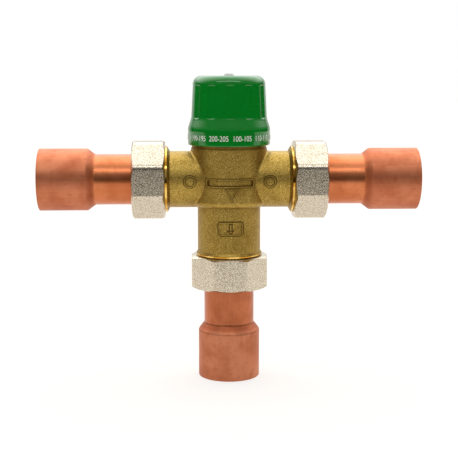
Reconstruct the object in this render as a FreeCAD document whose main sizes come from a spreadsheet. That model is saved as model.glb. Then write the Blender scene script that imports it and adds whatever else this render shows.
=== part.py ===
"""Thermostatic mixing valve: forged brass body, green setting cap, three union ends.

Z is up and the origin is the centre of the outlet tail's rim, on which the valve stands.
The hot inlet points to -X, the cold inlet to +X and the mixed outlet down.  The forged
marks are on the -Y side.  Pieces in the valve are drawn round the point where the port
axes cross, and pieces of a union round the centre of their port's face, with their own
Z pointing out of the port.  All sizes are in millimetres.
"""
import FreeCAD, Part
import math
import os
import re

import Sketcher

# ---------------------------------------------------------------- driving dimensions
SIZES = {
    # valve body, measured from the crossing of the port axes
    "port_reach": 31.6,        # to the face of each inlet port
    "outlet_reach": 36.6,      # to the face of the outlet port
    "barrel_radius": 15.1,
    "barrel_top": 12.5,
    "barrel_foot": 10.6,
    "foot_round": 2.4,
    "neck_step": 0.3,          # turned neck above the forged barrel
    "neck_top": 15.0,
    "branch_radius": 12.55,    # outlet branch
    "boss_radius": 11.2,       # inlet bosses
    "boss_blend": 0.9,
    "flange_radius": 13.2,     # turned land behind each thread
    "flange_width": 0.6,
    "flare_length": 1.1,
    "thread_radius": 12.6,     # plain at the pitch radius of G 3/4
    "thread_play": 0.08,
    "edge_break": 0.6,
    # inside the body
    "seat_height": 7.0,        # each seat above or below the port axes
    "land_half": 2.5,          # the land between the two inlet chambers
    "barrel_wall": 2.2,        # round the two inlet chambers
    "mixing_radius": 8.9,
    "ledge_depth": 24.0,       # where the return spring stands
    "ledge_width": 2.0,
    "ledge_radius": 6.9,
    "pocket_radius": 9.5,      # inlet pocket for the check valve
    "passage_width": 11.0,
    "passage_height": 6.0,
    "passage_lap": 1.4,        # how far the inlet passages run into the chambers
    "stem_relief": 1.9,
    "stem_room": 0.3,
    # forged marks
    "mark_height": 0.4,
    "bar_length": 18.9,
    "bar_width": 3.3,
    "bar_drop": 0.4,
    "mark_line": 0.5,
    "arrow_width": 5.8,
    "arrow_shift": 0.7,
    "arrow_top": 2.6,
    "arrow_depth": 5.0,
    "panel_width": 9.9,
    "panel_height": 5.5,
    "panel_shift": 0.2,
    "panel_drop": 18.5,
    "panel_round": 1.2,
    "panel_arrow_width": 2.4,
    "panel_arrow_height": 3.9,
    "panel_arrow_stem": 1.1,
    "bar_round": 0.8,
    "ring_reach": 15.7,
    "ring_radius": 2.6,
    "ring_line": 0.7,
    # bonnet
    "bonnet_thread_wall": 1.75,    # the neck's wall round the bonnet's thread
    "bonnet_margin": 0.6,      # the flange inside the neck's edge
    "bonnet_flange_height": 2.2,
    "bonnet_nose_step": 1.15,
    "bonnet_thread_foot": 8.6,
    "bonnet_cavity": 8.3,
    "bonnet_rim": 1.4,
    "bonnet_hex_cut": 1.2,
    "bonnet_tower": 8.6,
    "bonnet_top": 27.0,
    "spindle_stop": 20.4,      # shoulder that ends the spindle's rise
    "seal_section": 1.8,       # cord of the larger O-rings
    "seal_groove": 2.1,
    "fit_gap": 0.05,
    # spindle
    "spindle_radius": 7.2,
    "spindle_foot": 9.2,
    "spindle_shoulder": 19.7,
    "spindle_cup": 5.6,
    "cup_roof": 18.4,
    "stem_radius": 4.4,
    "stem_top": 37.4,
    "stem_seal_section": 1.3,
    "stem_seal_groove": 1.6,
    "stem_seal_low": 22.0,
    "stem_seal_step": 2.9,
    "spline_foot": 29.6,
    "spline_count": 12,
    "spline_depth": 0.5,
    "spline_width": 1.0,
    "clip_thickness": 0.8,
    "clip_play": 0.7,          # under the spindle's circlip
    "clip_radius": 5.6,
    "clip_bite": 0.6,
    "clip_opening": 2.4,
    "inner_clip_bore": 4.4,
    "plunger_foot": 10.6,
    "plunger_thickness": 2.4,
    "plunger_spigot": 3.0,
    "plunger_spigot_height": 1.4,
    "overload_wire": 1.2,
    "overload_turns": 3,
    "overload_radius": 4.35,
    # element and shuttle
    "spool_radius": 10.0,
    "spool_wall": 1.3,
    "spool_belt_wall": 2.1,
    "spool_belt_height": 2.6,
    "spool_seal_section": 1.1,
    "spool_seal_groove": 1.3,
    "hub_radius": 5.8,
    "spool_height": 11.0,
    "spool_gap": 0.75,         # below the cold seat when the valve is cold
    "hub_height": 3.6,
    "hub_drop": 2.2,           # underside of the hub below the spool's middle
    "rib_width": 2.2,
    "rib_count": 4,
    "neck_thread": 4.0,
    "neck_height": 5.4,
    "guide_radius": 2.9,
    "guide_top": 7.6,
    "piston_radius": 1.9,
    "piston_depth": 9.0,
    "collar_thickness": 2.0,
    "collar_radius": 6.2,
    "bulb_radius": 5.6,
    "bulb_round": 1.5,
    "bulb_length": 15.0,
    "return_wire": 1.2,
    "return_turns": 6,
    "return_radius": 7.5,      # mean radius of the coil
    # check valve cartridge, from the port's face inwards
    "cage_length": 12.9,
    "cage_wall": 1.5,
    "cage_seat": 3.0,
    "cage_mouth": 5.9,
    "cage_seal_section": 1.5,
    "cage_seal_groove": 1.7,
    "cage_seal_lip": 0.7,
    "spider_count": 3,
    "spider_width": 1.6,
    "spider_thickness": 1.5,
    "spider_hub": 2.5,
    "spider_hub_height": 2.2,
    "poppet_radius": 6.9,
    "poppet_thickness": 1.2,
    "poppet_stem": 1.4,
    "poppet_nose": 3.0,
    "poppet_nose_height": 1.6,
    "poppet_seal": 0.9,
    "poppet_seal_radius": 6.7,
    "poppet_travel": 2.5,
    "check_wire": 0.6,
    "check_turns": 4,
    "check_radius": 3.4,
    # strainer
    "strainer_rim": 1.6,
    "strainer_radius": 7.7,
    "strainer_length": 6.5,
    "strainer_wall": 0.5,
    "strainer_taper": 1.2,
    "strainer_margin": 1.0,
    "strainer_slots": 12,
    "strainer_slot_width": 1.2,
    # union ends
    "washer_thickness": 2.0,
    "washer_inner": 8.95,
    "washer_outer": 11.9,
    "tail_length": 41.6,
    "tail_collar": 2.0,
    "tail_collar_radius": 11.8,
    "tube_radius": 10.0,
    "tube_wall": 1.2,
    "socket_bore": 11.13,
    "socket_wall": 1.17,
    "socket_length": 19.1,
    "taper_length": 3.0,
    "taper_round": 1.4,
    "stop_step": 0.4,
    "rim_round": 0.25,
    "nut_across_flats": 30.2,
    "nut_length": 13.0,
    "nut_lip": 2.8,
    "nut_hole_play": 0.2,
    "nut_corner_round": 3.1,
    "nut_chamfer": 1.0,
    "nut_chamfer_radius": 14.75,
    "nut_gap": 0.2,            # to the flange when the union is tight
    "nut_relief": 13.1,
    "nut_relief_width": 2.0,
    # cap and its screw
    "cap_gap": 1.3,            # between the barrel and the skirt
    "skirt_play": 0.5,
    "skirt_wall": 1.1,
    "skirt_height": 6.5,
    "shoulder_height": 3.9,
    "shoulder_step": 1.3,
    "shoulder_wall": 0.9,
    "crown_height": 16.7,
    "crown_draft": 0.9,        # how much narrower the crown is at its top
    "crown_wall": 1.8,
    "crown_round": 3.5,
    "cap_hub": 7.0,
    "cap_play": 0.1,
    "skirt_round": 0.4,
    "shoulder_round": 6.0,
    "flute_count": 12,
    "flute_radius": 14.0,
    "flute_depth": 0.25,
    "flute_margin": 0.4,
    "flute_run": 25.0,         # the coned end of the cutter
    "screw_hole": 2.1,
    "screw_recess": 2.8,
    "screw_floor": 1.8,        # the cap's floor under the screw head
    "screw_radius": 1.9,
    "screw_head": 2.5,
    "screw_dome": 2.6,
    "screw_round": 2.0,
    "screw_length": 9.0,
    "screw_slot": 0.8,
    "screw_slot_length": 2.4,
    "screw_slot_depth": 1.1,
}

# ------------------------------------------------------- sizes that follow from others
DERIVED = {
    "axis_height": "outlet_reach + washer_thickness + tail_length",
    "neck_radius": "barrel_radius - neck_step",
    "chamber_radius": "barrel_radius - barrel_wall",
    "passage_reach": "chamber_radius - passage_lap",
    "bonnet_thread": "neck_radius - bonnet_thread_wall",
    "bonnet_nose": "bonnet_thread - bonnet_nose_step",
    "bonnet_flange": "neck_radius - bonnet_margin",
    "nut_hole": "tube_radius + nut_hole_play",
    "nut_foot": "washer_thickness + tail_collar + nut_lip - nut_length",
    "flange_face": "nut_foot - nut_gap",
    "nut_bore": "thread_radius + thread_play",
    "land_radius": "spool_radius + fit_gap",
    "body_top_bore": "bonnet_thread + fit_gap",
    "spindle_bore": "spindle_radius + fit_gap",
    "stem_bore": "stem_radius + fit_gap",
    "bonnet_shoulder": "neck_top + bonnet_flange_height",
    "spool_top": "seat_height - spool_gap",
    "spool_middle": "spool_top - spool_height / 2",
    "hub_foot": "spool_middle - hub_drop",
    "spool_bore": "spool_radius - spool_wall",
    "clip_foot": "bonnet_top + clip_play",
    "cage_top": "-strainer_rim",
    "cage_foot": "cage_top - cage_length",
    "pocket_depth": "strainer_rim + cage_length",
    "pocket_floor": "port_reach - pocket_depth",
    "relief_reach": "pocket_floor - poppet_travel - stem_room",
    "mouth_top": "washer_thickness + tail_collar",
    "seal_floor": "body_top_bore - seal_section",
    "stem_seal_floor": "stem_radius - stem_seal_section",
    "stem_seal_high": "stem_seal_low + stem_seal_step",
    "clip_floor": "stem_radius - clip_bite",
    "inner_clip_edge": "spindle_cup + clip_bite",
    "plunger_top": "plunger_foot + plunger_thickness",
    "screw_foot": "screw_seat - screw_length",
    "collar_foot": "hub_foot - collar_thickness",
    "cage_radius": "pocket_radius - 2 * fit_gap",
    "cage_bore": "cage_radius - cage_wall",
    "seat_face": "cage_top - cage_seat",
    "disc_top": "seat_face - poppet_seal",
    "disc_foot": "disc_top - poppet_thickness",
    "spider_top": "cage_foot + spider_thickness",
    "tube_bore": "tube_radius - tube_wall",
    "socket_radius": "socket_bore + socket_wall",
    "taper_foot": "tail_length - socket_length - taper_length",
    "taper_top": "tail_length - socket_length",
    "cap_foot": "barrel_top + cap_gap",
    "skirt_bore": "neck_radius + skirt_play",
    "skirt_radius": "skirt_bore + skirt_wall",
    "skirt_top": "cap_foot + skirt_height",
    "skirt_roof": "skirt_top - shoulder_wall",
    "crown_foot": "skirt_top + shoulder_height",
    "crown_foot_radius": "skirt_radius - shoulder_step",
    "crown_radius": "crown_foot_radius - crown_draft",
    "crown_bore": "crown_radius - crown_wall",
    "cap_top": "crown_foot + crown_height",
    "cap_roof": "stem_top",
    "screw_seat": "cap_roof + screw_floor",
    "spline_reach": "stem_radius + cap_play",
}

doc = FreeCAD.newDocument("mixing_valve")
sheet = doc.addObject("Spreadsheet::Sheet", "Sizes")
NODES = []


def fill_sheet():
    """Write every driving dimension to the spreadsheet as a plain number with an alias."""
    for row, (name, value) in enumerate(SIZES.items(), start=1):
        sheet.set(f"A{row}", name)
        sheet.set(f"B{row}", str(value))
        sheet.setAlias(f"B{row}", name)
    doc.recompute()


def bound(text):
    """The expression with derived sizes written out and every alias given its sheet."""
    def replace(match):
        word = match.group(0)
        if word in DERIVED:
            return "(" + bound(DERIVED[word]) + ")"
        return "Sizes." + word if word in SIZES else word
    return re.sub(r"[a-z_]+", replace, text)


def value(text):
    """The number that an expression stands for now."""
    return float(sheet.evalExpression(bound(text)))


def plane_of(body, role):
    return next(item for item in body.Origin.OriginFeatures if item.Role == role)


def new_body(name, direction=None, kept=True):
    """A body at the crossing of the ports, or at a port's face with Z out of the port."""
    body = doc.addObject("PartDesign::Body", name)
    turn = {None: 0, "hot": -90, "cold": 90, "outlet": 180}[direction]
    rotation = FreeCAD.Rotation(FreeCAD.Vector(0, 1, 0), turn)
    body.Placement = FreeCAD.Placement(FreeCAD.Vector(), rotation)
    height = "axis_height"
    if direction == "outlet":
        height = "axis_height - outlet_reach"
    elif direction:
        sign = "-" if direction == "hot" else ""
        body.setExpression("Placement.Base.x", bound(sign + "port_reach"))
    body.setExpression("Placement.Base.z", bound(height))
    if kept:
        NODES.append(body)
    return body


def new_sketch(body, role, name):
    sketch = body.newObject("Sketcher::SketchObject", name)
    sketch.AttachmentSupport = [(plane_of(body, role), "")]
    sketch.MapMode = "FlatFace"
    return sketch


def fix_point(sketch, geometry, position, across, up):
    """Hold a sketch point at two expressions, one along each sketch axis."""
    for axis, line, text in (("DistanceX", -2, across), ("DistanceY", -1, up)):
        number = value(text)
        if abs(number) < 1e-9:
            sketch.addConstraint(Sketcher.Constraint("PointOnObject", geometry, position, line))
            continue
        rule = Sketcher.Constraint(axis, -1, 1, geometry, position, number)
        index = sketch.addConstraint(rule)
        sketch.setExpression(f"Constraints[{index}]", bound(text))


def draw_outline(sketch, corners):
    """A closed outline of straight lines.  A corner is (across, up) or, to be rounded,
    (across, up, radius); the corner's own position stays fixed by the two sizes."""
    points = [FreeCAD.Vector(value(c[0]), value(c[1]), 0) for c in corners]
    count = len(corners)
    starts, ends = list(points), list(points)
    for index, corner in enumerate(corners):
        if len(corner) > 2:
            back = (points[index - 1] - points[index]).normalize()
            ahead = (points[(index + 1) % count] - points[index]).normalize()
            reach = value(corner[2]) / math.tan(back.getAngle(ahead) / 2)
            ends[index] = points[index] + back * reach
            starts[index] = points[index] + ahead * reach
    lines = []
    for index in range(count):
        following = (index + 1) % count
        lines.append(sketch.addGeometry(Part.LineSegment(starts[index], ends[following])))
    for index, corner in enumerate(corners):
        before, after = lines[index - 1], lines[index]
        if len(corner) == 2:
            sketch.addConstraint(Sketcher.Constraint("Coincident", before, 2, after, 1))
            fix_point(sketch, after, 1, corner[0], corner[1])
            continue
        round_corner(sketch, corner, points[index], ends[index], starts[index], before, after)


def round_corner(sketch, corner, tip, first, last, before, after):
    """Join two lines by a tangent arc whose corner point stays on both lines."""
    radius = value(corner[2])
    middle_way = ((first - tip).normalize() + (last - tip).normalize()).normalize()
    half = (first - tip).getAngle(last - tip) / 2
    centre = tip + middle_way * (radius / math.sin(half))
    crown = centre - middle_way * radius
    arc = sketch.addGeometry(Part.Arc(first, crown, last))
    point = sketch.addGeometry(Part.Point(tip), True)
    near_first = sketch.getPoint(arc, 1).distanceToPoint(first) < 1e-6
    start, end = (1, 2) if near_first else (2, 1)
    sketch.addConstraint(Sketcher.Constraint("Tangent", before, 2, arc, start))
    sketch.addConstraint(Sketcher.Constraint("Tangent", arc, end, after, 1))
    index = sketch.addConstraint(Sketcher.Constraint("Radius", arc, radius))
    sketch.setExpression(f"Constraints[{index}]", bound(corner[2]))
    sketch.addConstraint(Sketcher.Constraint("PointOnObject", point, 1, before))
    sketch.addConstraint(Sketcher.Constraint("PointOnObject", point, 1, after))
    fix_point(sketch, point, 1, corner[0], corner[1])


def draw_circle(sketch, across, up, radius):
    centre = FreeCAD.Vector(value(across), value(up), 0)
    circle = Part.Circle(centre, FreeCAD.Vector(0, 0, 1), value(radius))
    geometry = sketch.addGeometry(circle)
    index = sketch.addConstraint(Sketcher.Constraint("Radius", geometry, value(radius)))
    sketch.setExpression(f"Constraints[{index}]", bound(radius))
    fix_point(sketch, geometry, 3, across, up)


def turned(body, name, corners, cut=False, axis="V_Axis"):
    """Revolve an outline, radius across and height up, as a solid or as a cut."""
    sketch = new_sketch(body, "XZ_Plane", name + "_profile")
    draw_outline(sketch, corners)
    kind = "PartDesign::Groove" if cut else "PartDesign::Revolution"
    feature = body.newObject(kind, name)
    feature.Profile = sketch
    feature.ReferenceAxis = (sketch, [axis])
    feature.Angle = 360
    doc.recompute()
    return feature


def ring_corners(inner, outer, low, high):
    return [(inner, low), (outer, low), (outer, high), (inner, high)]


def o_ring(name, groove, section, height, direction=None):
    """An O-ring of a round section that lies on a groove's floor of the given radius."""
    body = new_body(name, direction)
    sketch = new_sketch(body, "XZ_Plane", name + "_profile")
    draw_circle(sketch, f"{groove} + {section} / 2", height, f"{section} / 2")
    feature = body.newObject("PartDesign::Revolution", name + "_ring")
    feature.Profile = sketch
    feature.ReferenceAxis = (sketch, ["V_Axis"])
    feature.Angle = 360
    return body


def coil(name, wire, radius, low, high, turns, direction=None):
    """A compression spring with ends ground flat between two heights."""
    body = new_body(name, direction)
    sketch = new_sketch(body, "XZ_Plane", name + "_wire")
    draw_circle(sketch, radius, low, f"{wire} / 2")
    helix = body.newObject("PartDesign::AdditiveHelix", name + "_coil")
    helix.Profile = sketch
    helix.ReferenceAxis = (sketch, ["V_Axis"])
    helix.Mode = "height-turns-growth"
    helix.setExpression("Height", bound(f"{high} - ({low})"))
    helix.setExpression("Turns", bound(turns))
    doc.recompute()
    for end, base in (("low", f"{low} - {wire}"), ("high", high)):
        grind = body.newObject("PartDesign::SubtractiveCylinder", f"{name}_ground_{end}")
        grind.setExpression("Radius", bound(f"{radius} + {wire}"))
        grind.setExpression("Height", bound(wire))
        grind.setExpression("Placement.Base.z", bound(base))
    doc.recompute()
    return body


def repeated(body, name, original, count):
    """Repeat a feature evenly round the body's own Z axis."""
    pattern = body.newObject("PartDesign::PolarPattern", name)
    pattern.Originals = [original]
    pattern.Axis = (plane_of(body, "Z_Axis"), [""])
    pattern.Angle = 360
    pattern.setExpression("Occurrences", bound(count))
    body.Tip = pattern
    doc.recompute()
    return pattern


def box_feature(body, name, length, width, height, corner, cut=False):
    """An added or cut block; corner is its lowest corner and sizes are expressions."""
    kind = "PartDesign::SubtractiveBox" if cut else "PartDesign::AdditiveBox"
    block = body.newObject(kind, name)
    for key, text in (("Length", length), ("Width", width), ("Height", height)):
        block.setExpression(key, bound(text))
    for key, text in zip("xyz", corner):
        block.setExpression(f"Placement.Base.{key}", bound(text))
    doc.recompute()
    return block


# ---------------------------------------------------------------------- valve body
def valve_body():
    """The forged body: barrel, outlet branch and two inlet bosses, machined inside."""
    body = new_body("valve_forging", kept=False)
    turned(body, "barrel", [
        ("0", "-outlet_reach"),
        ("thread_radius - edge_break", "-outlet_reach"),
        ("thread_radius", "edge_break - outlet_reach"),
        ("thread_radius", "-outlet_reach - flange_face"),
        ("flange_radius", "-outlet_reach - flange_face"),
        ("flange_radius", "flange_width - outlet_reach - flange_face"),
        ("branch_radius", "flange_width + flare_length - outlet_reach - flange_face"),
        ("branch_radius", "-barrel_foot"),
        ("barrel_radius", "-barrel_foot", "foot_round"),
        ("barrel_radius", "barrel_top"),
        ("neck_radius", "barrel_top"),
        ("neck_radius", "neck_top - edge_break / 2"),
        ("neck_radius - edge_break / 2", "neck_top"),
        ("0", "neck_top"),
    ])
    bar_recess(body)
    turned(body, "bosses", boss_corners(), axis="H_Axis")
    blend_bosses(body)
    turned(body, "bore", [
        ("0", "-outlet_reach"),
        ("pocket_radius", "-outlet_reach"),
        ("pocket_radius", "-ledge_depth - ledge_width"),
        ("ledge_radius", "-ledge_depth - ledge_width"),
        ("ledge_radius", "-ledge_depth"),
        ("mixing_radius", "-ledge_depth"),
        ("mixing_radius", "-seat_height"),
        ("chamber_radius", "-seat_height"),
        ("chamber_radius", "-land_half"),
        ("land_radius", "-land_half"),
        ("land_radius", "land_half"),
        ("chamber_radius", "land_half"),
        ("chamber_radius", "bonnet_thread_foot"),
        ("body_top_bore", "bonnet_thread_foot"),
        ("body_top_bore", "neck_top"),
        ("0", "neck_top"),
    ], cut=True)
    for side, sign in (("hot", "-"), ("cold", "")):
        turned(body, side + "_pocket", [
            (f"{sign}port_reach", "0"),
            (f"{sign}port_reach", "pocket_radius"),
            (f"{sign}pocket_floor", "pocket_radius"),
            (f"{sign}pocket_floor", "stem_relief"),
            (f"{sign}relief_reach", "stem_relief"),
            (f"{sign}relief_reach", "0"),
        ], cut=True, axis="H_Axis")
    half = "-passage_width / 2"
    length = "pocket_floor - passage_reach"
    hot_corner = ("-pocket_floor", half, "-seat_height")
    cold_corner = ("passage_reach", half, "seat_height - passage_height")
    for side, corner in (("hot", hot_corner), ("cold", cold_corner)):
        box_feature(body, side + "_passage", length, "passage_width", "passage_height",
                    corner, cut=True)
    whole = doc.addObject("Part::MultiFuse", "valve_body")
    whole.Shapes = [body, barrel_marks(), outlet_marks(), boss_marks()]
    NODES.append(whole)


def bar_recess(body):
    """The shallow slot within the bar frame, cut round the front of the barrel."""
    sketch = new_sketch(body, "YZ_Plane", "bar_recess_profile")
    half = "(bar_width / 2 - mark_line)"
    skin, floor = "-barrel_radius - mark_height", "mark_height - barrel_radius"
    low, high = f"-bar_drop - {half}", f"{half} - bar_drop"
    draw_outline(sketch, [(skin, low), (floor, low), (floor, high), (skin, high)])
    groove = body.newObject("PartDesign::Groove", "bar_recess")
    groove.Profile = sketch
    groove.ReferenceAxis = (sketch, ["V_Axis"])
    groove.Midplane = True
    sweep = "2 * asin((bar_length / 2 - mark_line) / barrel_radius)"
    groove.setExpression("Angle", bound(sweep))
    doc.recompute()


def boss_corners():
    """Half the outline of both bosses with their flanges and thread stubs, end to end."""
    side = [
        ("port_reach", "0"),
        ("port_reach", "thread_radius - edge_break"),
        ("port_reach - edge_break", "thread_radius"),
        ("port_reach + flange_face", "thread_radius"),
        ("port_reach + flange_face", "flange_radius"),
        ("port_reach + flange_face - flange_width", "flange_radius"),
        ("port_reach + flange_face - flange_width - flare_length", "boss_radius"),
    ]
    mirrored = [(f"-({reach})", radius) for reach, radius in side]
    return side + mirrored[::-1]


def has_radius(face, text):
    """Whether a face is round about an axis with the given radius."""
    surface = face.Surface
    return isinstance(surface, Part.Cylinder) and abs(surface.Radius - value(text)) < 1e-4


def blend_bosses(body):
    """Round the inside corner where each boss leaves the barrel."""
    base = body.Tip
    shape = base.Shape
    names = []
    for index, edge in enumerate(shape.Edges, start=1):
        faces = shape.ancestorsOfType(edge, Part.Face)
        sizes = ("boss_radius", "barrel_radius")
        if all(any(has_radius(face, size) for face in faces) for size in sizes):
            names.append(f"Edge{index}")
    fillet = body.newObject("PartDesign::Fillet", "boss_blends")
    fillet.Base = (base, names)
    fillet.setExpression("Radius", bound("boss_blend"))
    doc.recompute()


def raised_marks(name, draw, radius, axis, low, high):
    """Marks drawn on the front plane and standing out of a round wall of the body."""
    body = new_body(name, kept=False)
    sketch = new_sketch(body, "XZ_Plane", name + "_lines")
    draw(sketch)
    pad = body.newObject("PartDesign::Pad", name + "_pad")
    pad.Profile = sketch
    pad.setExpression("Length", bound(f"{radius} + 2 * mark_height"))
    doc.recompute()
    skin = f"{radius} + mark_height"
    root = f"{radius} - mark_height"
    rings = (("outside", skin, f"2 * {radius}"), ("inside", "0", root))
    for part, inner, outer in rings:
        corners = ring_corners(inner, outer, low, high)
        if axis == "H_Axis":
            corners = [(along, across) for across, along in corners]
        turned(body, f"{name}_{part}", corners, cut=True, axis=axis)
    return body


def framed(sketch, across, up, width, height, corner_radius):
    """A raised frame round a rectangle with rounded corners."""
    for inset in ("0", "mark_line"):
        right, top = f"({width} / 2 - {inset})", f"({height} / 2 - {inset})"
        rounding = f"{corner_radius} - {inset}"
        draw_outline(sketch, [
            (f"{across} - {right}", f"{up} - {top}", rounding),
            (f"{across} + {right}", f"{up} - {top}", rounding),
            (f"{across} + {right}", f"{up} + {top}", rounding),
            (f"{across} - {right}", f"{up} + {top}", rounding),
        ])


def barrel_marks():
    """The rim of the blank bar with a downward triangle below it."""
    def draw(sketch):
        framed(sketch, "0", "-bar_drop", "bar_length", "bar_width", "bar_round")
        for inset in ("0", "mark_line"):
            half = f"(arrow_width / 2 - 2 * {inset})"
            draw_outline(sketch, [
                (f"arrow_shift - {half}", f"-arrow_top - {inset}"),
                (f"arrow_shift + {half}", f"-arrow_top - {inset}"),
                ("arrow_shift", f"2 * {inset} - arrow_top - arrow_depth"),
            ])
    return raised_marks("barrel_marks", draw, "barrel_radius", "V_Axis",
                        "-barrel_foot", "barrel_top")


def outlet_marks():
    """A frame on the outlet branch with the flow arrow in it."""
    def draw(sketch):
        framed(sketch, "panel_shift", "-panel_drop", "panel_width", "panel_height",
               "panel_round")
        top = "(panel_arrow_height / 2 - panel_drop)"
        tip = "(-panel_drop - panel_arrow_height / 2)"
        barb = f"({tip} + panel_arrow_width / 2)"
        draw_outline(sketch, [
            ("panel_shift", tip),
            ("panel_shift + panel_arrow_width / 2", barb),
            ("panel_shift + panel_arrow_stem / 2", barb),
            ("panel_shift + panel_arrow_stem / 2", top),
            ("panel_shift - panel_arrow_stem / 2", top),
            ("panel_shift - panel_arrow_stem / 2", barb),
            ("panel_shift - panel_arrow_width / 2", barb),
        ])
    return raised_marks("outlet_marks", draw, "branch_radius", "V_Axis",
                        "-panel_drop - panel_height", "-panel_drop + panel_height")


def boss_marks():
    """A raised ring on each inlet boss."""
    def draw(sketch):
        for sign in ("-", ""):
            draw_circle(sketch, f"{sign}ring_reach", "0", "ring_radius")
            draw_circle(sketch, f"{sign}ring_reach", "0", "ring_radius - ring_line")
    return raised_marks("boss_marks", draw, "boss_radius", "H_Axis",
                        "-port_reach", "port_reach")


# ------------------------------------------------------------- bonnet and spindle
def bonnet():
    """The brass bonnet: its lower rim is the cold seat and its tower holds the spindle."""
    body = new_body("bonnet")
    turned(body, "bonnet_turning", [
        ("bonnet_cavity", "seat_height"),
        ("bonnet_nose", "seat_height"),
        ("bonnet_nose", "bonnet_thread_foot"),
        ("bonnet_thread", "bonnet_thread_foot"),
        ("bonnet_thread", "neck_top - seal_groove"),
        ("seal_floor", "neck_top - seal_groove"),
        ("seal_floor", "neck_top"),
        ("bonnet_flange", "neck_top"),
        ("bonnet_flange", "bonnet_shoulder"),
        ("bonnet_tower", "bonnet_shoulder"),
        ("bonnet_tower", "bonnet_top - edge_break"),
        ("bonnet_tower - edge_break", "bonnet_top"),
        ("stem_bore", "bonnet_top"),
        ("stem_bore", "spindle_stop"),
        ("spindle_bore", "spindle_stop"),
        ("spindle_bore", "seat_height + bonnet_rim"),
        ("bonnet_cavity", "seat_height + bonnet_rim"),
    ])
    flat = box_feature(body, "bonnet_flat", "bonnet_flange", "2 * bonnet_flange",
                       "bonnet_flange_height",
                       ("bonnet_flange - bonnet_hex_cut", "-bonnet_flange", "neck_top"),
                       cut=True)
    repeated(body, "bonnet_flats", flat, "6")
    o_ring("bonnet_o_ring", "seal_floor", "seal_section", "neck_top - seal_groove / 2")


def grooved_stem(heights, width, floor):
    """Outline points of round grooves in the stem, from the lowest to the highest."""
    points = []
    for height in heights:
        low, high = f"{height} - {width} / 2", f"{height} + {width} / 2"
        points += [("stem_radius", low), (floor, low), (floor, high), ("stem_radius", high)]
    return points


def spindle():
    """The setting spindle: a threaded cup for the overload spring and a splined stem."""
    body = new_body("spindle")
    seals = ("stem_seal_low", "stem_seal_high")
    turned(body, "spindle_turning", [
        ("spindle_cup", "spindle_foot"),
        ("spindle_radius", "spindle_foot"),
        ("spindle_radius", "spindle_shoulder"),
        ("stem_radius", "spindle_shoulder"),
        *grooved_stem(seals, "stem_seal_groove", "stem_seal_floor"),
        *grooved_stem(("clip_foot + clip_thickness / 2",), "clip_thickness", "clip_floor"),
        ("stem_radius", "stem_top"),
        ("screw_radius + fit_gap", "stem_top"),
        ("screw_radius + fit_gap", "screw_foot - stem_room"),
        ("0", "screw_foot - stem_room"),
        ("0", "cup_roof"),
        ("spindle_cup", "cup_roof"),
        ("spindle_cup", "plunger_foot"),
        ("inner_clip_edge", "plunger_foot"),
        ("inner_clip_edge", "plunger_foot - clip_thickness"),
        ("spindle_cup", "plunger_foot - clip_thickness"),
    ])
    groove = box_feature(body, "spline_groove", "2 * spline_depth", "spline_width",
                         "stem_top - spline_foot",
                         ("stem_radius - spline_depth", "-spline_width / 2", "spline_foot"),
                         cut=True)
    repeated(body, "spline_grooves", groove, "spline_count")
    for place, height in zip(("lower", "upper"), seals):
        o_ring(f"spindle_o_ring_{place}", "stem_seal_floor", "stem_seal_section", height)


def snap_ring(name, inner, outer, foot):
    """A spring ring of flat section with an opening on its +X side."""
    body = new_body(name)
    top = f"{foot} + clip_thickness"
    turned(body, name + "_ring", ring_corners(inner, outer, foot, top))
    box_feature(body, name + "_opening", outer, "clip_opening", "clip_thickness",
                ("0", "-clip_opening / 2", foot), cut=True)


def overload_unit():
    """The plunger that the element pushes on, with its spring and snap ring in the cup."""
    snap_ring("spindle_circlip", "clip_floor", "clip_radius", "clip_foot")
    snap_ring("plunger_circlip", "inner_clip_bore", "inner_clip_edge",
              "plunger_foot - clip_thickness")
    body = new_body("overload_plunger")
    turned(body, "plunger_turning", [
        ("0", "plunger_foot"),
        ("spindle_cup - 2 * fit_gap", "plunger_foot"),
        ("spindle_cup - 2 * fit_gap", "plunger_top"),
        ("plunger_spigot", "plunger_top"),
        ("plunger_spigot", "plunger_top + plunger_spigot_height"),
        ("0", "plunger_top + plunger_spigot_height"),
    ])
    coil("overload_spring", "overload_wire", "overload_radius", "plunger_top", "cup_roof",
         "overload_turns")


# --------------------------------------------------------------- element and shuttle
def element():
    """The wax element, its piston, and the spool that opens one inlet as it shuts the other."""
    body = new_body("wax_element")
    turned(body, "element_turning", [
        ("0", "collar_foot - bulb_length"),
        ("bulb_radius", "collar_foot - bulb_length", "bulb_round"),
        ("bulb_radius", "collar_foot"),
        ("collar_radius", "collar_foot"),
        ("collar_radius", "hub_foot"),
        ("neck_thread", "hub_foot"),
        ("neck_thread", "hub_foot + neck_height"),
        ("guide_radius", "hub_foot + neck_height"),
        ("guide_radius", "guide_top"),
        ("piston_radius + fit_gap", "guide_top"),
        ("piston_radius + fit_gap", "guide_top - piston_depth - stem_room"),
        ("0", "guide_top - piston_depth - stem_room"),
    ])
    piston = new_body("element_piston")
    turned(piston, "piston_turning",
           ring_corners("0", "piston_radius", "guide_top - piston_depth", "plunger_foot"))
    spool()
    coil("return_spring", "return_wire", "return_radius", "-ledge_depth", "hub_foot",
         "return_turns")


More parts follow.
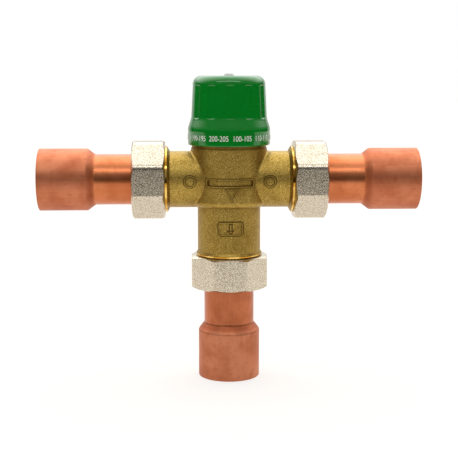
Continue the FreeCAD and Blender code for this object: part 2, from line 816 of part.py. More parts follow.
def spool():
    """The sliding spool with its hub on ribs; each end shuts against one seat."""
    body = new_body("spool")
    belt_low = "spool_middle - spool_belt_height / 2"
    belt_high = "spool_middle + spool_belt_height / 2"
    groove_low = "spool_middle - spool_seal_groove / 2"
    groove_high = "spool_middle + spool_seal_groove / 2"
    turned(body, "spool_turning", [
        ("spool_bore", "spool_top - spool_height"),
        ("spool_radius", "spool_top - spool_height"),
        ("spool_radius", groove_low),
        ("spool_radius - spool_seal_section", groove_low),
        ("spool_radius - spool_seal_section", groove_high),
        ("spool_radius", groove_high),
        ("spool_radius", "spool_top"),
        ("spool_bore", "spool_top"),
        ("spool_bore", belt_high),
        ("spool_radius - spool_belt_wall", belt_high),
        ("spool_radius - spool_belt_wall", belt_low),
        ("spool_bore", belt_low),
    ])
    turned(body, "spool_hub", ring_corners("neck_thread + fit_gap", "hub_radius",
                                           "hub_foot", "hub_foot + hub_height"))
    root = "(neck_thread + hub_radius) / 2"
    rib = box_feature(body, "spool_rib", f"spool_bore + fit_gap - {root}", "rib_width",
                      "hub_height", (root, "-rib_width / 2", "hub_foot"))
    repeated(body, "spool_ribs", rib, "rib_count")
    o_ring("spool_o_ring", "spool_radius - spool_seal_section", "spool_seal_section",
           "spool_middle")


# -------------------------------------------------------------- inlet check valves
def check_valve(side):
    """A check valve cartridge: cage, poppet with its seal, spring and outer O-ring."""
    body = new_body(f"{side}_check_cage", side)
    groove_high = "cage_top - cage_seal_lip"
    groove_low = f"{groove_high} - cage_seal_groove"
    turned(body, "cage_wall_ring", [
        ("cage_bore", "cage_foot"),
        ("cage_radius", "cage_foot"),
        ("cage_radius", groove_low),
        ("cage_radius - cage_seal_section", groove_low),
        ("cage_radius - cage_seal_section", groove_high),
        ("cage_radius", groove_high),
        ("cage_radius", "cage_top"),
        ("cage_mouth", "cage_top"),
        ("cage_mouth", "seat_face"),
        ("cage_bore", "seat_face"),
    ])
    turned(body, "spider_hub_ring",
           ring_corners("poppet_stem + fit_gap", "spider_hub", "cage_foot",
                        "cage_foot + spider_hub_height"))
    root = "(poppet_stem + spider_hub) / 2"
    rib = box_feature(body, "spider_rib", f"cage_bore + fit_gap - {root}", "spider_width",
                      "spider_thickness", (root, "-spider_width / 2", "cage_foot"))
    repeated(body, "spider_ribs", rib, "spider_count")
    o_ring(f"{side}_check_o_ring", "cage_radius - cage_seal_section", "cage_seal_section",
           f"{groove_high} - cage_seal_groove / 2", side)
    poppet = new_body(f"{side}_check_poppet", side)
    turned(poppet, "poppet_turning", [
        ("0", "cage_foot"),
        ("poppet_stem", "cage_foot"),
        ("poppet_stem", "disc_foot"),
        ("poppet_radius", "disc_foot"),
        ("poppet_radius", "disc_top"),
        ("poppet_nose", "disc_top"),
        ("poppet_nose", "seat_face"),
        ("poppet_nose / 2", "disc_top + poppet_nose_height"),
        ("0", "disc_top + poppet_nose_height"),
    ])
    seal = new_body(f"{side}_check_seal", side)
    turned(seal, "seal_ring",
           ring_corners("poppet_nose", "poppet_seal_radius", "disc_top", "seat_face"))
    coil(f"{side}_check_spring", "check_wire", "check_radius", "spider_top", "disc_foot",
         "check_turns", side)


def strainer(side):
    """The slotted strainer cup whose rim the union washer holds in the port."""
    body = new_body(f"{side}_strainer", side)
    inner = "strainer_radius - strainer_wall"
    turned(body, "strainer_cup", [
        (inner, "-strainer_rim"),
        ("cage_radius", "-strainer_rim"),
        ("cage_radius", "0"),
        ("strainer_radius", "0"),
        ("strainer_radius - strainer_taper", "strainer_length"),
        ("0", "strainer_length"),
        ("0", "strainer_length - strainer_wall"),
        (f"{inner} - strainer_taper", "strainer_length - strainer_wall"),
        (inner, "0"),
    ])
    slot = box_feature(body, "strainer_slot", "strainer_radius / 2", "strainer_slot_width",
                       "strainer_length - 2 * strainer_margin",
                       ("strainer_radius / 2 + strainer_wall", "-strainer_slot_width / 2",
                        "strainer_margin"), cut=True)
    repeated(body, "strainer_slot_ring", slot, "strainer_slots")


# ----------------------------------------------------------------------- union ends
def tailpiece(side):
    """A copper tail: collar, tube, taper and the socket that takes the pipe."""
    body = new_body(f"{side}_tailpiece", side)
    corners = [
        ("tube_bore", "0"),
        ("tail_collar_radius", "0"),
        ("tail_collar_radius", "tail_collar"),
        ("tube_radius", "tail_collar"),
        ("tube_radius", "taper_foot", "taper_round"),
        ("socket_radius", "taper_top", "taper_round"),
        ("socket_radius", "tail_length", "rim_round"),
        ("socket_bore", "tail_length"),
        ("socket_bore", "taper_top + stop_step"),
        ("tube_bore", "taper_foot + stop_step"),
    ]
    turned(body, "tail_forming", [
        (radius, f"washer_thickness + {height}", *rest) for radius, height, *rest in corners
    ])
    washer = new_body(f"{side}_union_washer", side)
    turned(washer, "washer_ring",
           ring_corners("washer_inner", "washer_outer", "0", "washer_thickness"))


def union_nut(side):
    """The eight-sided union nut that draws the tail's collar to the port."""
    body = new_body(f"{side}_union_nut", side)
    sketch = new_sketch(body, "XY_Plane", "nut_outline")
    sketch.setExpression("AttachmentOffset.Base.z", bound("nut_foot"))
    near, far = "nut_across_flats / 2 * tan(22.5)", "nut_across_flats / 2"
    quarter = [(far, near), (near, far)]
    corners = quarter + [(f"-{a}", b) for a, b in quarter[::-1]]
    corners += [(f"-{a}", f"-{b}") for a, b in quarter]
    corners += [(a, f"-{b}") for a, b in quarter[::-1]]
    draw_outline(sketch, [(a, b, "nut_corner_round") for a, b in corners])
    pad = body.newObject("PartDesign::Pad", "nut_block")
    pad.Profile = sketch
    pad.setExpression("Length", bound("nut_length"))
    doc.recompute()
    outside = "nut_across_flats / 2 / cos(22.5)"
    for end, face, inward in (("foot", "nut_foot", "+"), ("top", "nut_foot + nut_length", "-")):
        turned(body, f"nut_chamfer_{end}", [
            ("nut_chamfer_radius", face),
            (outside, face),
            (outside, f"{face} {inward} nut_chamfer"),
        ], cut=True)
    turned(body, "nut_threaded_bore", [
        ("0", "nut_foot"),
        ("nut_bore + edge_break", "nut_foot"),
        ("nut_bore", "nut_foot + edge_break"),
        ("nut_bore", "mouth_top - nut_relief_width"),
        ("nut_relief", "mouth_top - nut_relief_width"),
        ("nut_relief", "mouth_top"),
        ("nut_hole", "mouth_top"),
        ("nut_hole", "mouth_top + nut_lip"),
        ("0", "mouth_top + nut_lip"),
    ], cut=True)


# ---------------------------------------------------------------------- cap and screw
def cap():
    """The moulded cap: skirt, sloped shoulder, fluted crown and a splined hub inside."""
    body = new_body("setting_cap")
    turned(body, "cap_moulding", [
        ("skirt_bore", "cap_foot"),
        ("skirt_radius", "cap_foot", "skirt_round"),
        ("skirt_radius", "skirt_top", "shoulder_round"),
        ("crown_foot_radius", "crown_foot", "shoulder_round"),
        ("crown_radius", "cap_top", "crown_round"),
        ("screw_recess", "cap_top"),
        ("screw_recess", "screw_seat"),
        ("screw_hole", "screw_seat"),
        ("screw_hole", "cap_roof"),
        ("crown_bore", "cap_roof"),
        ("crown_bore", "skirt_roof"),
        ("skirt_bore", "skirt_roof"),
    ])
    turned(body, "cap_hub_ring",
           ring_corners("spline_reach", "cap_hub", "spline_foot", "cap_roof"))
    rib = box_feature(body, "cap_spline", "cap_hub - stem_radius + spline_depth - 2 * cap_play",
                      "spline_width - 2 * cap_play", "cap_roof - spline_foot",
                      ("stem_radius - spline_depth + cap_play",
                       "cap_play - spline_width / 2", "spline_foot"))
    repeated(body, "cap_splines", rib, "spline_count")
    cut_flutes(body)


def cut_flutes(body):
    """Shallow grooves round the crown, each running out at both ends; one is at the front."""
    sketch = new_sketch(body, "YZ_Plane", "flute_profile")
    low, high = "(crown_foot + flute_margin)", "(cap_top - crown_round - flute_margin)"
    foot, top = f"({low} - flute_run)", f"({high} + flute_run)"

    def centre(height):
        draft = f"crown_draft / crown_height * ({height} - crown_foot)"
        return f"({draft} - crown_foot_radius - flute_radius + flute_depth)"

    draw_outline(sketch, [
        (centre(foot), foot),
        (f"{centre(low)} + flute_radius", low),
        (f"{centre(high)} + flute_radius", high),
        (centre(top), top),
    ])
    ends = [FreeCAD.Vector(value(centre(end)), value(end), 0) for end in (foot, top)]
    line = sketch.addGeometry(Part.LineSegment(*ends), True)
    fix_point(sketch, line, 1, centre(foot), foot)
    fix_point(sketch, line, 2, centre(top), top)
    groove = body.newObject("PartDesign::Groove", "flute")
    groove.Profile = sketch
    groove.ReferenceAxis = (sketch, ["Axis0"])
    groove.Angle = 360
    doc.recompute()
    repeated(body, "flutes", groove, "flute_count")


def cap_screw():
    """The domed screw that holds the cap down on the spindle."""
    body = new_body("cap_screw")
    turned(body, "screw_turning", [
        ("0", "screw_foot"),
        ("screw_radius - edge_break", "screw_foot"),
        ("screw_radius", "screw_foot + edge_break"),
        ("screw_radius", "screw_seat"),
        ("screw_head", "screw_seat"),
        ("screw_head", "screw_seat + screw_dome", "screw_round"),
        ("0", "screw_seat + screw_dome"),
    ])
    slot = box_feature(body, "screw_slot_cut", "screw_slot_length", "screw_slot",
                       "screw_slot_depth",
                       ("-screw_slot_length / 2", "-screw_slot / 2",
                        "screw_seat + screw_dome - screw_slot_depth"), cut=True)
    repeated(body, "screw_cross", slot, "4")


def export_nodes():
    """Check every object and write each piece to its own file."""
    failed = [item.Name for item in doc.Objects if {"Invalid", "Error"} & set(item.State)]
    if failed:
        raise RuntimeError("failed objects: " + ", ".join(failed))
    os.makedirs("parts", exist_ok=True)
    for node in NODES:
        shape = node.Shape
        if shape.isNull() or not shape.isValid() or len(shape.Solids) != 1:
            raise RuntimeError(f"{node.Label} is not one valid solid")
        shape.exportStep(f"parts/{node.Label}.step")
        print(f"{node.Label}: {shape.Volume:.1f} mm3")


fill_sheet()
valve_body()
bonnet()
spindle()
overload_unit()
element()
for inlet in ("hot", "cold"):
    check_valve(inlet)
    strainer(inlet)
for port in ("hot", "cold", "outlet"):
    tailpiece(port)
    union_nut(port)
cap()
cap_screw()
doc.recompute()
export_nodes()
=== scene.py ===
"""Finish, studio and camera for the mixing valve.

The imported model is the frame: its solids keep their shapes and places. This script gives
each one its finish, puts merged copies in place of the three hidden springs, prints the
dial scale on the cap and sets up the studio. Everything is in metres.
"""
import math

import bpy
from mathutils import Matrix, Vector


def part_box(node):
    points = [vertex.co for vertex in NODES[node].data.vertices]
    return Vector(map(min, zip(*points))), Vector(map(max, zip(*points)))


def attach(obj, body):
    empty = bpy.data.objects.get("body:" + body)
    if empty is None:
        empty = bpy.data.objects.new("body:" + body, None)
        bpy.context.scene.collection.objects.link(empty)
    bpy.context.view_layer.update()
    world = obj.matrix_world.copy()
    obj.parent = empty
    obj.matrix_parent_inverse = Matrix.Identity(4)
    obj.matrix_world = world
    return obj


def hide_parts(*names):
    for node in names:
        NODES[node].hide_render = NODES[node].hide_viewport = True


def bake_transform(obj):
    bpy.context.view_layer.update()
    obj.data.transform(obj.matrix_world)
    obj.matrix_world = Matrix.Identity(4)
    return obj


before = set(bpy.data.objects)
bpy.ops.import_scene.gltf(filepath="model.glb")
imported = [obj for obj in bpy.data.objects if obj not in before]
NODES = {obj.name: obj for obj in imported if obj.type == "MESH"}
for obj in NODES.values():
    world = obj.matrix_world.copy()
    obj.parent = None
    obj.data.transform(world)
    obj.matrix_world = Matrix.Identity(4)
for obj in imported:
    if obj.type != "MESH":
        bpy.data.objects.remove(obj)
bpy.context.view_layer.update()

MM = 0.001

# ------------------------------------------------------------- places read from the frame
COLD_NUT_LOW, COLD_NUT_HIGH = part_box("cold_union_nut")
_, OUTLET_NUT_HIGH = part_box("outlet_union_nut")
CAP_LOW, CAP_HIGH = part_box("setting_cap")
_, COLD_TAIL_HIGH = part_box("cold_tailpiece")
AXIS_HEIGHT = (COLD_NUT_LOW.z + COLD_NUT_HIGH.z) / 2
SKIRT_RADIUS = (CAP_HIGH.x - CAP_LOW.x) / 2

# Lengths of the solids that their boxes don't give.
SOCKET_LENGTH = 19.1 * MM
THREAD_PITCH = 1.814 * MM
RETURN_WIRE = 1.2 * MM


# ------------------------------------------------------------------------ shader maths
class Value:
    """A number that varies from place to place; arithmetic on it adds Math nodes."""

    def __init__(self, graph, socket):
        self.graph = graph
        self.socket = socket

    def _math(self, operation, *inputs):
        return self.graph.value("ShaderNodeMath", {"operation": operation}, inputs, "Value")

    def __add__(self, other):
        return self._math("ADD", self, other)

    def __sub__(self, other):
        return self._math("SUBTRACT", self, other)

    def __rsub__(self, other):
        return self._math("SUBTRACT", other, self)

    def __mul__(self, other):
        return self._math("MULTIPLY", self, other)

    __radd__ = __add__
    __rmul__ = __mul__

    def root(self):
        return self._math("SQRT", self)

    def size(self):
        return self._math("ABSOLUTE", self)

    def wave(self, length):
        """Runs from 0 up to 1 and back, once in each given length."""
        return self._math("PINGPONG", self, length / 2) * (2 / length)

    def greatest(self, other):
        return self._math("MAXIMUM", self, other)

    def least(self, other):
        return self._math("MINIMUM", self, other)

    def rise(self, start, end):
        """0 before start and 1 after end, with a smooth step between."""
        settings = {"interpolation_type": "SMOOTHSTEP"}
        inputs = {"Value": self, "From Min": start, "From Max": end}
        return self.graph.value("ShaderNodeMapRange", settings, inputs, "Result")

    def line(self, width):
        """1 where the value is 0, falling to 0 at the given distance to either side."""
        return 1 - self.size().rise(0.3 * width, width)


class Graph:
    """A node tree and the one way to add nodes to it."""

    def __init__(self, tree):
        self.tree = tree

    def node(self, kind, settings=None, inputs=None):
        """A node with its settings made first, then its sockets set or linked."""
        node = self.tree.nodes.new(kind)
        for key, setting in (settings or {}).items():
            setattr(node, key, setting)
        pairs = inputs.items() if isinstance(inputs, dict) else enumerate(inputs or ())
        for key, entry in pairs:
            socket = node.inputs[key]
            entry = entry.socket if isinstance(entry, Value) else entry
            if isinstance(entry, bpy.types.NodeSocket):
                self.tree.links.new(entry, socket)
            else:
                socket.default_value = entry
        return node

    def value(self, kind, settings, inputs, output):
        return Value(self, self.node(kind, settings, inputs).outputs[output])

    def directions(self, output):
        """The three parts of a Texture Coordinate output."""
        self.place = self.node("ShaderNodeTexCoord").outputs[output]
        split = self.node("ShaderNodeSeparateXYZ", {}, {"Vector": self.place})
        return [Value(self, split.outputs[axis]) for axis in "XYZ"]

    def seen_by(self, *rays):
        """1 for the named kinds of ray, such as Camera."""
        path = self.node("ShaderNodeLightPath")
        total = Value(self, path.outputs[f"Is {rays[0]} Ray"])
        for ray in rays[1:]:
            total = total.greatest(Value(self, path.outputs[f"Is {ray} Ray"]))
        return total


class Finish(Graph):
    """A node material with one Principled shader, and the helpers that feed it."""

    def __init__(self, name, metallic=0.0, roughness=0.5):
        self.material = bpy.data.materials.new(name)
        self.material.use_nodes = True
        super().__init__(self.material.node_tree)
        self.shader = self.tree.nodes["Principled BSDF"]
        self.shader.inputs["Metallic"].default_value = metallic
        self.shader.inputs["Roughness"].default_value = roughness
        self.x, self.y, self.z = self.directions("Object")

    def feed(self, key, entry):
        entry = entry.socket if isinstance(entry, Value) else entry
        self.tree.links.new(entry, self.shader.inputs[key])

    def stretched(self, scale):
        """The object's coordinates, scaled along each axis."""
        inputs = {"Vector": self.place, "Scale": scale}
        return self.node("ShaderNodeMapping", {}, inputs).outputs["Vector"]

    def noise(self, grain, detail=2.0, place=None, roughness=0.5):
        """Smooth noise whose features are about grain metres across."""
        inputs = {"Vector": place or self.place, "Scale": 1 / grain, "Detail": detail,
                  "Roughness": roughness}
        return self.value("ShaderNodeTexNoise", {}, inputs, "Fac")

    def mix(self, low, high, factor):
        """A colour between two colours; sockets 6 and 7 are the node's colours."""
        mixer = self.node("ShaderNodeMix", {"data_type": "RGBA"}, {0: factor, 6: low, 7: high})
        return mixer.outputs[2]

    def bump(self, height, depth):
        """Surface relief; depth is the height in metres of a value of 1."""
        relief = self.node("ShaderNodeBump", {}, {"Height": height, "Distance": depth})
        self.feed("Normal", relief.outputs["Normal"])

    def put_on(self, *names):
        """Give the finish to solids of the frame."""
        for name in names:
            mesh = NODES[name].data
            mesh.materials.clear()
            mesh.materials.append(self.material)


def rgb(red, green, blue):
    """A display colour from 0 to 255 as a linear shader colour."""
    def linear(channel):
        share = channel / 255
        return share / 12.92 if share <= 0.04045 else ((share + 0.055) / 1.055) ** 2.4
    return (linear(red), linear(green), linear(blue), 1.0)


# -------------------------------------------------------------- dark edges of the marks
def from_frame(across, up, half_width, half_height, rounding):
    """Distance outside a rectangle with rounded corners, centred on the two values' 0."""
    beside = across.size() - (half_width - rounding)
    over = up.size() - (half_height - rounding)
    corner = (beside.greatest(0) * beside.greatest(0) + over.greatest(0) * over.greatest(0)).root()
    return corner + beside.greatest(over).least(0) - rounding


def from_arrowhead(across, up, half_width, depth):
    """Distance outside a triangle that points down from its top edge, where up is 0."""
    slant = math.hypot(half_width, depth)
    side = across.size() * (depth / slant) - (up + depth) * (half_width / slant)
    return up.greatest(side)


def bar_shadow(x, up):
    """The recessed bar: the slot's edge, which fades at both ends, and its raised rim."""
    drop, slot_end = 0.4 * MM, 8.4 * MM
    rim_width, line_width = 0.7 * MM, 0.35 * MM
    outside = from_frame(x, up + drop, half_width=9.0 * MM, half_height=1.15 * MM,
                         rounding=0.3 * MM)
    past_end = (x.size() - slot_end).rise(0, 0.5 * MM)
    slot = (outside + 0.1 * MM).line(line_width) * (1 - past_end)
    rim = (outside - rim_width).line(line_width)
    return (slot * 0.5).greatest(rim * 0.6)


def triangle_shadow(x, up):
    """The outer and inner edge of the triangle below the bar."""
    aside, drop, line_width = 0.7 * MM, 2.6 * MM, 0.25 * MM
    outside = from_arrowhead(x - aside, up + drop, half_width=2.9 * MM, depth=5.0 * MM)
    outer = (outside - 0.05 * MM).line(line_width)
    inner = (outside + 0.6 * MM).line(line_width)
    return outer.greatest(inner) * 0.5


def arrow_shadow(x, up):
    """The frame low on the barrel, and the arrow in it."""
    across, above = x - 0.2 * MM, up + 18.5 * MM
    outside = from_frame(across, above, half_width=4.95 * MM, half_height=2.75 * MM,
                         rounding=1.2 * MM)
    panel = (outside - 0.05 * MM).line(0.32 * MM)
    point = from_arrowhead(across, above + 0.75 * MM, half_width=1.2 * MM, depth=1.2 * MM)
    stem = from_frame(across, above - 0.6 * MM, half_width=0.55 * MM, half_height=1.35 * MM,
                      rounding=0.1 * MM)
    return panel.greatest(point.least(stem).line(0.34 * MM))


def ring_shadows(x, up):
    """The inner and outer edge of the ring on each branch."""
    place, inner, outer = 15.7 * MM, 1.7 * MM, 2.5 * MM
    across = x.size() - place
    radius = (across * across + up * up).root()
    edges = (radius - inner).line(0.3 * MM).greatest((radius - outer).line(0.35 * MM))
    return edges * 0.85


def mark_shadows(finish):
    """Painted shade along the edges of the forged marks on the front of the body."""
    x, up = finish.x, finish.z - AXIS_HEIGHT
    marks = bar_shadow(x, up).greatest(triangle_shadow(x, up))
    marks = marks.greatest(arrow_shadow(x, up)).greatest(ring_shadows(x, up))
    in_front = 1 - finish.y.rise(-5 * MM, -4 * MM)
    return marks * in_front


# ---------------------------------------------------------------------------- finishes
def stubs(finish, depth):
    """1 on the side stubs, and 1 on the outlet stub, from a depth inside their nuts.

    A negative depth starts in front of the nut.
    """
    blur = 0.2 * MM
    side_start = COLD_NUT_LOW.x + depth
    outlet_start = OUTLET_NUT_HIGH.z - depth
    sides = finish.x.size().rise(side_start, side_start + blur)
    outlet = 1 - finish.z.rise(outlet_start - blur, outlet_start)
    return sides, outlet


def blasted_tones(finish, grain, coarse):
    """Dark and light grains with painted glints, duller in clouds, with painted shade below the
    cap's skirt and along the marks.
    """
    cloud = finish.noise(8 * MM, detail=1.0)
    dull = (cloud * 0.7 + coarse * 0.3).rise(0.45, 0.7)
    # Painted shade: darker above the barrel's top, under the cap's skirt.
    neck_shade = finish.z.rise(AXIS_HEIGHT + 12.3 * MM, AXIS_HEIGHT + 12.5 * MM)
    tones = finish.mix(rgb(134, 106, 40), rgb(206, 174, 92), grain.rise(0.32, 0.68))
    # Pale specks on the brightest grains: painted glints.
    tones = finish.mix(tones, rgb(236, 210, 136), grain.rise(0.6, 0.72) * 0.6)
    tones = finish.mix(tones, rgb(132, 103, 40), dull * 0.5)
    tones = finish.mix(tones, rgb(120, 92, 34), neck_shade * 0.7)
    # Painted shade: dark lines along the edges of the forged marks.
    return finish.mix(tones, rgb(74, 54, 20), mark_shadows(finish) * 0.85)


def bright_tones(finish, thread):
    """Machined brass with patches of painted reflection, a little duller along the thread."""
    # Patches between two golds: partly the brass's own tone, partly painted reflection.
    cloud = finish.noise(5 * MM).rise(0.4, 0.6)
    tones = finish.mix(rgb(196, 142, 50), rgb(244, 204, 112), cloud)
    return finish.mix(tones, rgb(206, 164, 82), thread)


def forged_brass():
    """Shot-blasted forged brass, machined bright by each union nut and threaded inside it."""
    finish = Finish("forged_brass", metallic=1.0)
    grain = finish.noise(0.34 * MM, roughness=0.6)
    coarse = finish.noise(0.9 * MM)
    sides, outlet = stubs(finish, depth=-1.0 * MM)
    turned = sides.greatest(outlet)
    sides, outlet = stubs(finish, depth=1.5 * MM)
    thread = sides * finish.x.wave(THREAD_PITCH) + outlet * finish.z.wave(THREAD_PITCH)
    blasted = blasted_tones(finish, grain, coarse)
    finish.feed("Base Color", finish.mix(blasted, bright_tones(finish, thread), turned))
    finish.feed("Roughness", (1 - turned) * (grain * 0.14 + 0.38) + turned * 0.1)
    finish.bump((grain * 0.7 + coarse * 0.3) * (1 - turned) + thread * 5, 0.11 * MM)
    finish.put_on("valve_body")


def turned_brass():
    """Lathe-turned brass of the inner pieces, with fine turning lines."""
    finish = Finish("turned_brass", metallic=1.0, roughness=0.25)
    lines = finish.noise(0.25 * MM, place=finish.stretched((0.02, 0.02, 1.0)))
    finish.feed("Base Color", finish.mix(rgb(190, 150, 76), rgb(214, 176, 98), lines))
    finish.bump(lines, 0.02 * MM)
    finish.put_on("bonnet", "spindle", "overload_plunger")


def nickel_plate():
    """Nickel plate over a coarse blasted surface."""
    finish = Finish("nickel_plate", metallic=1.0)
    grain = finish.noise(0.3 * MM, roughness=0.7)
    coarse = finish.noise(1.2 * MM)
    tint = finish.mix(rgb(158, 141, 112), rgb(236, 227, 209), grain.rise(0.32, 0.64))
    finish.feed("Base Color", tint)
    finish.feed("Roughness", grain * 0.12 + 0.18)
    finish.bump(grain * 0.7 + coarse * 0.3, 0.06 * MM)
    finish.put_on("hot_union_nut", "cold_union_nut", "outlet_union_nut")


def copper(name, drawn, tube_tones, socket_tones, nodes):
    """Drawn copper: bright tube, and a duller, stained socket where the end was widened.

    The scale along the direction in which the tube was drawn is small, which makes streaks.
    Each part's colour runs between two tones.
    """
    finish = Finish(name, metallic=1.0)
    cone_length = 3.5 * MM
    socket_start = COLD_TAIL_HIGH.x - SOCKET_LENGTH
    beside = finish.x.size().rise(socket_start - cone_length, socket_start)
    below = 1 - finish.z.rise(SOCKET_LENGTH, SOCKET_LENGTH + cone_length)
    socket = beside.greatest(below)
    cloud = finish.noise(9 * MM)
    smear = finish.noise(2.0 * MM, detail=3.0)
    streaks = finish.noise(0.8 * MM, place=finish.stretched(drawn))
    mottle = cloud * 0.8 + streaks * 0.2
    tube = finish.mix(*tube_tones, mottle.rise(0.35, 0.65))
    dull = finish.mix(*socket_tones, mottle.rise(0.35, 0.65))
    colour = finish.mix(tube, dull, socket)
    heated = (socket * (1 - socket) * 4).least(1) * 0.45 + smear.rise(0.52, 0.75) * 0.25
    finish.feed("Base Color", finish.mix(colour, rgb(158, 78, 46), heated))
    finish.feed("Roughness", smear * 0.1 + socket.rise(0, 0.1) * 0.2 + 0.26)
    finish.bump(smear * 0.7 + finish.noise(0.5 * MM) * 0.3, 0.02 * MM)
    finish.put_on(*nodes)


def copper_tails():
    """The inlet tails are drawn along X and the outlet tail along Z."""
    tube_tones = [rgb(190, 108, 66), rgb(208, 125, 83)]
    socket_tones = [rgb(188, 110, 76), rgb(206, 130, 94)]
    inlet_tails = ["hot_tailpiece", "cold_tailpiece"]
    copper("copper", (0.08, 1.0, 1.0), tube_tones, socket_tones, inlet_tails)
    tube_tones = [rgb(166, 94, 60), rgb(190, 112, 76)]
    socket_tones = [rgb(194, 117, 82), rgb(213, 138, 101)]
    copper("copper_outlet", (1.0, 1.0, 0.08), tube_tones, socket_tones, ["outlet_tailpiece"])


def green_plastic():
    """Glossy moulded plastic of the cap."""
    finish = Finish("green_plastic")
    finish.shader.inputs["Coat Weight"].default_value = 0.3
    finish.shader.inputs["Coat Roughness"].default_value = 0.04
    cloud = finish.noise(12 * MM)
    finish.feed("Base Color", finish.mix(rgb(0, 118, 26), rgb(0, 130, 38), cloud))
    finish.feed("Roughness", cloud * 0.04 + 0.06)
    finish.bump(finish.noise(1.5 * MM), 0.008 * MM)
    finish.put_on("setting_cap")


def plain_finish(name, colour, metallic, roughness, nodes):
    """A smooth finish with a slight change of tone, for a small or an inner piece."""
    finish = Finish(name, metallic=metallic)
    cloud = finish.noise(2 * MM, detail=3.0)
    darker = 0.8
    shade = tuple(channel * darker for channel in colour[:3]) + (1.0,)
    finish.feed("Base Color", finish.mix(colour, shade, cloud))
    finish.feed("Roughness", cloud * 0.15 + roughness)
    finish.bump(cloud, 0.02 * MM)
    finish.put_on(*nodes)


def small_pieces():
    """Finishes of the screw, seals, springs, plastics and the element."""
    plain_finish("grey_screw", rgb(176, 178, 174), 0.3, 0.4, ["cap_screw"])
    rubber = [name for name in NODES if name.endswith(("o_ring", "_lower", "_upper", "_seal"))]
    plain_finish("black_rubber", rgb(24, 24, 25), 0.0, 0.5, rubber)
    washers = [name for name in NODES if name.endswith("union_washer")]
    plain_finish("washer_rubber", rgb(40, 38, 36), 0.0, 0.6, washers)
    wire = [name for name in NODES if name.endswith(("_spring", "_circlip"))]
    plain_finish("spring_steel", rgb(190, 190, 194), 1.0, 0.2, wire)
    steel = ["hot_strainer", "cold_strainer", "element_piston"]
    plain_finish("stainless", rgb(202, 202, 200), 1.0, 0.25, steel)
    plain_finish("element_copper", rgb(205, 128, 92), 1.0, 0.25, ["wax_element"])
    plain_finish("spool_plastic", rgb(38, 38, 40), 0.0, 0.45, ["spool"])
    acetal = [name for name in NODES if name.endswith(("check_cage", "check_poppet"))]
    plain_finish("white_plastic", rgb(225, 224, 216), 0.0, 0.4, acetal)


# ------------------------------------------------------- merged copies of the springs
def keep_coils(height, side):
    """Cut the coils that are being edited, keep one side and close its ends."""
    bpy.ops.mesh.bisect(plane_co=(0, 0, height), plane_no=(0, 0, side), clear_inner=True,
                        threshold=0.001 * MM)
    bpy.ops.mesh.select_all(action="SELECT")
    bpy.ops.mesh.remove_doubles(threshold=0.01 * MM)
    bpy.ops.mesh.select_all(action="DESELECT")
    bpy.ops.mesh.select_mode(type="VERT")
    bpy.ops.mesh.select_non_manifold(extend=False)
    bpy.ops.mesh.fill_holes(sides=0)


def spring_coils(name, spring, kept=None):
    """A merged copy of a spring; the spring itself is hidden.

    With kept, a height and a side, only the part above (1) or below (-1) it stays.
    """
    coils = bpy.data.objects.new(name, NODES[spring].data.copy())
    bpy.context.scene.collection.objects.link(coils)
    bpy.ops.object.select_all(action="DESELECT")
    coils.select_set(True)
    bpy.context.view_layer.objects.active = coils
    bpy.ops.object.mode_set(mode="EDIT")
    bpy.ops.mesh.select_all(action="SELECT")
    bpy.ops.mesh.remove_doubles(threshold=0.02 * MM)
    if kept:
        keep_coils(*kept)
    bpy.ops.object.mode_set(mode="OBJECT")
    bpy.ops.object.shade_smooth_by_angle(angle=math.radians(40))
    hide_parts(spring)
    return coils


def check_springs():
    """A merged copy of each check spring."""
    for side, inwards in (("hot", 1), ("cold", -1)):
        coils = spring_coils(f"{side}_check_coils", f"{side}_check_spring")
        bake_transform(coils)


def return_spring():
    """Two merged halves of the return spring, cut two fifths of the way from its foot to its top.
    """
    low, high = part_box("return_spring")
    foot, top = low.z + RETURN_WIRE, high.z - RETURN_WIRE
    lower_share = 0.4
    middle = foot + lower_share * (top - foot)
    lower = spring_coils("return_coils_lower", "return_spring", kept=(middle, -1))
    upper = spring_coils("return_coils_upper", "return_spring", kept=(middle, 1))
    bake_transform(lower)
    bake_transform(upper)


# ------------------------------------------------------------------------- printed scale
def print_ink():
    """White ink, a little worn."""
    finish = Finish("white_ink")
    wear = finish.noise(0.5 * MM)
    worn = finish.mix(rgb(236, 242, 236), rgb(180, 208, 186), wear.rise(0.55, 0.75))
    finish.feed("Base Color", worn)
    finish.feed("Roughness", wear * 0.2 + 0.4)
    return finish.material


def flat_words(text):
    """A thin mesh of a line of text, with its middle at the origin."""
    bpy.ops.object.select_all(action="DESELECT")
    bpy.ops.object.text_add(location=(0, 0, 0))
    drawing = bpy.context.object.data
    drawing.body = text
    drawing.size = 3.0 * MM
    drawing.align_x = "CENTER"
    drawing.extrude = 0.03 * MM
    bpy.ops.object.convert(target="MESH")
    return bpy.context.object


def wrap_round(mesh, radius, height, start):
    """Bend a flat drawing round the skirt, a little narrowed: across becomes an angle."""
    narrowed = 0.8
    for vertex in mesh.vertices:
        angle = start + narrowed * vertex.co.x / radius
        reach = radius + vertex.co.z
        up = height + vertex.co.y
        vertex.co = (reach * math.sin(angle), -reach * math.cos(angle), up)


def dial_print():
    """Plain pairs of numbers, printed round the cap's skirt."""
    ink = print_ink()
    count, first, step, span = 11, 100, 10, 5
    radius = SKIRT_RADIUS + 0.02 * MM
    height = CAP_LOW.z + 2.1 * MM
    for index in range(count):
        low = first + step * index
        words = flat_words(f"{low}-{low + span}")
        wrap_round(words.data, radius, height, (index + 0.5) * 2 * math.pi / count)
        words.data.materials.clear()
        words.data.materials.append(ink)
        words.name = f"scale_number_{index + 1}"
        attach(words, "spindle")


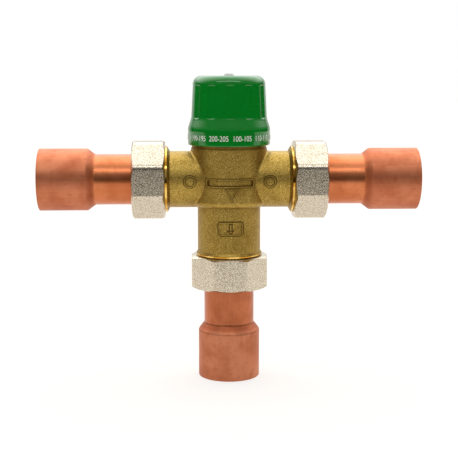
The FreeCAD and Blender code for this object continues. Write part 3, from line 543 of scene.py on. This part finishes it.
# ------------------------------------------------------------------------------- studio
def area_light(name, place, size, level):
    """A softbox that faces the valve; level is how bright it looks, where 1 is white."""
    data = bpy.data.lights.new(name, "AREA")
    data.shape = "RECTANGLE"
    data.size, data.size_y = size
    data.energy = level * math.pi * size[0] * size[1]
    lamp = bpy.data.objects.new(name, data)
    bpy.context.scene.collection.objects.link(lamp)
    lamp.location = place
    towards = Vector((0, 0, AXIS_HEIGHT)) - lamp.location
    lamp.rotation_euler = towards.to_track_quat("-Z", "Y").to_euler()


def studio_floor():
    """A pale table top that ends in front of the valve and runs on behind it."""
    front, back, side = -0.5, 4.0, 3.0
    bpy.ops.object.select_all(action="DESELECT")
    bpy.ops.mesh.primitive_plane_add(size=1, location=(0, 0, 0))
    floor = bpy.context.object
    floor.name = "studio_floor"
    for vertex in floor.data.vertices:
        vertex.co.x *= 2 * side
        vertex.co.y = front if vertex.co.y < 0 else back
    surface = Finish("studio_floor", roughness=0.9)
    surface.shader.inputs["Base Color"].default_value = (0.78, 0.70, 0.62, 1)
    surface.shader.inputs["Specular IOR Level"].default_value = 0.0
    white = surface.node("ShaderNodeEmission", {}, {"Color": (1, 1, 1, 1), "Strength": 1.1})
    white_share = 0.65
    share = surface.seen_by("Camera", "Glossy", "Transmission") * white_share
    mixer = surface.node("ShaderNodeMixShader", {}, {
        0: share, 1: surface.shader.outputs["BSDF"], 2: white.outputs["Emission"]})
    surface.tree.links.new(mixer.outputs[0], surface.tree.nodes["Material Output"].inputs[0])
    floor.data.materials.append(surface.material)


def studio_world():
    """A white room, bright above and behind the valve and dim on the viewer's side.

    The level depends on the direction looked in: y runs to the back and z runs up.
    """
    world = bpy.data.worlds.new("studio")
    bpy.context.scene.world = world
    world.use_nodes = True
    room = Graph(world.node_tree)
    room.tree.nodes.clear()
    _, y, z = room.directions("Generated")
    base_level, ceiling_level = 0.045, 2.4
    above = 0.25 * z.rise(0.05, 0.35) + 0.5 * z.rise(0.45, 0.9)
    ceiling = (y + z * 0.5).rise(-0.1, 0.8) * z.rise(0.1, 0.5)
    backdrop = y.rise(0.6, 0.85) * room.seen_by("Glossy", "Transmission")
    level = (base_level + above + ceiling_level * ceiling).greatest(backdrop)
    dim = room.node("ShaderNodeBackground", {}, {"Strength": level})
    white = room.node("ShaderNodeBackground", {}, {"Color": (1, 1, 1, 1)})
    mixer = room.node("ShaderNodeMixShader", {}, {
        0: room.seen_by("Camera"), 1: dim.outputs[0], 2: white.outputs[0]})
    room.node("ShaderNodeOutputWorld", {}, {"Surface": mixer.outputs[0]})


def studio():
    """The floor, the room and one long softbox above and in front."""
    studio_floor()
    studio_world()
    area_light("front_softbox", place=(-0.05, -0.75, 0.9), size=(1.4, 0.15), level=4.0)


def camera():
    """Seen from the front at cap height, looking slightly down."""
    data = bpy.data.cameras.new("camera")
    data.sensor_width = 36
    data.lens = 81.75
    view = bpy.data.objects.new("camera", data)
    bpy.context.scene.collection.objects.link(view)
    yaw, pitch, reach, rise = math.radians(2.2), math.radians(8.42), 414.4 * MM, 41.1 * MM
    view.location = (-reach * math.sin(yaw), -reach * math.cos(yaw), AXIS_HEIGHT + rise)
    view.rotation_euler = (math.radians(90) - pitch, 0, -yaw)
    data.clip_start, data.clip_end = 0.01, 20
    bpy.context.scene.camera = view


def smooth_solids():
    """Shade the solids smooth; their own edges stay sharp."""
    for node in NODES.values():
        for polygon in node.data.polygons:
            polygon.use_smooth = True


bpy.context.scene.view_settings.view_transform = "Standard"
forged_brass()
turned_brass()
nickel_plate()
copper_tails()
green_plastic()
small_pieces()
check_springs()
return_spring()
dial_print()
studio()
camera()
smooth_solids()
